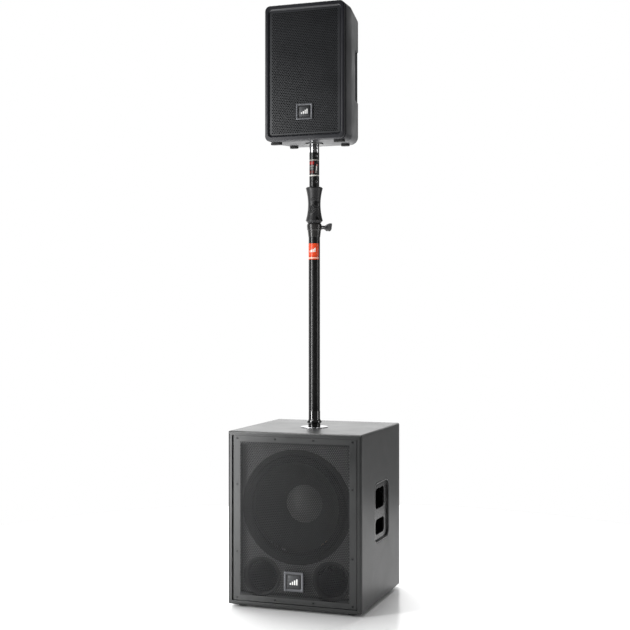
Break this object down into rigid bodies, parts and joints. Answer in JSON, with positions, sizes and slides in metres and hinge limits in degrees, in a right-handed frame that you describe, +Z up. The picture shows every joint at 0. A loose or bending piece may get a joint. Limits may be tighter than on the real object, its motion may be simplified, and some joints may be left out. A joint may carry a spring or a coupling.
{
  "type": "pa speaker",
  "caption": "Loudspeaker stack: a box bass cabinet with perforated grille and side handles, a telescopic clamp pole in its top, and a small turning full-range cabinet.",
  "frame": {"origin": "on the floor under the middle of the bass cabinet", "axes": "+Z up along the pole, the grilles face -Y, +X is to the right of a person facing the grilles"},
  "size_m": [0.476, 0.473, 2.057],
  "materials": {
    "cabinet_paint": "textured black paint on plywood",
    "inner_paint": "matt black paint on plywood",
    "bare_timber": "bare birch",
    "grille_paint": "satin black powder coat, perforated",
    "black_fastener": "black oxide",
    "badge_metal": "satin grey",
    "moulded_black": "fine moulded grain",
    "knob_plastic": "satin",
    "switch_red": "gloss",
    "button_metal": "bright",
    "cast_frame": "black paint on cast alloy",
    "magnet_iron": "dull grey ferrite and plate",
    "cone_paper": "pressed paper",
    "soft_roll": "coated cloth",
    "spider_cloth": "resin cloth",
    "foot_rubber": "matt",
    "plate_paint": "fine textured black",
    "fin_aluminium": "black anodised",
    "circuit_board": "green laminate",
    "socket_steel": "bright plate",
    "tube_paint": "gloss black",
    "label_orange": "gloss film",
    "collar_plastic": "satin gloss",
    "grip_rubber": "satin",
    "bright_steel": "bright",
    "pad_nylon": "natural",
    "mark_print": "printed film",
    "housing_plastic": "fine moulded grain"
  },
  "bodies": {
    "bass_cabinet": {"sub_top_panel": "cabinet_paint", "sub_bottom_panel": "cabinet_paint", "sub_left_panel": "cabinet_paint", "sub_right_panel": "cabinet_paint", "sub_rear_panel": "inner_paint", "sub_baffle": "inner_paint", "sub_brace": "bare_timber", "sub_grille_frame": "inner_paint", "sub_grille": "grille_paint", "sub_grille_screws": "black_fastener", "sub_badge": "badge_metal", "sub_side_handles": "moulded_black", "sub_handle_cups": "moulded_black", "sub_port_tubes": "moulded_black", "sub_woofer_basket": "cast_frame", "sub_woofer_magnet": "magnet_iron", "sub_woofer_surround": "soft_roll", "sub_woofer_spider": "spider_cloth", "sub_woofer_screws": "black_fastener", "sub_feet": "foot_rubber", "sub_amp_plate": "plate_paint", "sub_heatsink": "fin_aluminium", "sub_amp_board": "circuit_board", "sub_jacks": "moulded_black", "sub_power_inlet": "moulded_black", "sub_plate_screws": "black_fastener", "pole_socket": "socket_steel", "pole_coupler": "tube_paint", "pole_outer_tube": "tube_paint", "pole_label": "label_orange", "pole_collar": "collar_plastic", "pole_grip": "grip_rubber", "pole_grip_screw": "black_fastener"},
    "bass_cone": {"sub_woofer_cone": "cone_paper"},
    "bass_level_knob": {"sub_level_knob": "knob_plastic"},
    "bass_phase_button": {"sub_phase_button": "button_metal"},
    "bass_power_rocker": {"sub_power_switch": "switch_red"},
    "thumb_button": {"pole_thumb_button": "knob_plastic"},
    "clamp_pad": {"pole_clamp_pad": "pad_nylon"},
    "wing_knob": {"pole_wing_knob": "grip_rubber"},
    "upper_tube": {"pole_inner_tube": "tube_paint", "pole_marks": "mark_print"},
    "spigot": {"pole_spigot": "bright_steel"},
    "top_cabinet": {"top_front_housing": "housing_plastic", "top_housing_screws": "black_fastener", "top_rear_housing": "housing_plastic", "top_grille": "grille_paint", "top_badge": "badge_metal", "top_woofer_basket": "cast_frame", "top_horn": "moulded_black", "top_tweeter_driver": "magnet_iron", "top_pole_cup": "moulded_black", "top_feet": "foot_rubber", "top_amp_plate": "plate_paint", "top_amp_board": "circuit_board", "top_input_jacks": "moulded_black", "top_power_inlet": "moulded_black"},
    "top_cone": {"top_woofer_cone": "cone_paper"},
    "top_level_knob": {"top_level_knob": "knob_plastic"},
    "top_power_rocker": {"top_power_switch": "switch_red"}
  },
  "joints": [
    {"name": "pole_height", "type": "slide", "parent": "bass_cabinet", "child": "upper_tube", "axis": [0, 0, 1], "range_m": [-0.11, 0.33]},
    {"name": "top_turn", "type": "hinge", "parent": "upper_tube", "child": "spigot", "pos_m": [0, -0.0265, 1.558], "axis": [0, 0, 1], "continuous": true},
    {"name": "top_lift", "type": "slide", "parent": "spigot", "child": "top_cabinet", "axis": [0, 0, 1], "range_m": [0, 0.1]},
    {"name": "bass_cone_stroke", "type": "slide", "parent": "bass_cabinet", "child": "bass_cone", "axis": [0, -1, 0], "range_m": [-0.006, 0.006], "stiffness_N_per_m": 4000},
    {"name": "top_cone_stroke", "type": "slide", "parent": "top_cabinet", "child": "top_cone", "axis": [0, -1, 0], "range_m": [-0.003, 0.003], "stiffness_N_per_m": 2500},
    {"name": "wing_knob_turn", "type": "hinge", "parent": "clamp_pad", "child": "wing_knob", "pos_m": [0.026, -0.0265, 1.296], "axis": [1, 0, 0], "range_deg": [0, 720]},
    {"name": "clamp_pad_travel", "type": "slide", "parent": "bass_cabinet", "child": "clamp_pad", "axis": [1, 0, 0], "range_m": [0, 0.0031]},
    {"name": "thumb_button_press", "type": "slide", "parent": "bass_cabinet", "child": "thumb_button", "axis": [-0.682, 0.7314, 0], "range_m": [0, 0.0012], "stiffness_N_per_m": 900},
    {"name": "bass_level_turn", "type": "hinge", "parent": "bass_cabinet", "child": "bass_level_knob", "pos_m": [-0.06, 0.2155, 0.391], "axis": [0, 1, 0], "range_deg": [-150, 150]},
    {"name": "bass_phase_press", "type": "slide", "parent": "bass_cabinet", "child": "bass_phase_button", "axis": [0, -1, 0], "range_m": [0, 0.002], "stiffness_N_per_m": 400},
    {"name": "bass_power_rock", "type": "hinge", "parent": "bass_cabinet", "child": "bass_power_rocker", "pos_m": [0.03, 0.2105, 0.331], "axis": [1, 0, 0], "range_deg": [-16, 0]},
    {"name": "top_level_turn", "type": "hinge", "parent": "top_cabinet", "child": "top_level_knob", "pos_m": [0, 0.0855, 1.873], "axis": [0, 1, 0], "range_deg": [-150, 150]},
    {"name": "top_power_rock", "type": "hinge", "parent": "top_cabinet", "child": "top_power_rocker", "pos_m": [0.032, 0.0805, 1.718], "axis": [1, 0, 0], "range_deg": [-16, 0]}
  ],
  "couplings": [
    {"joint": "clamp_pad_travel", "follows": "wing_knob_turn", "m_per_rad": 0.00023873}
  ]
}
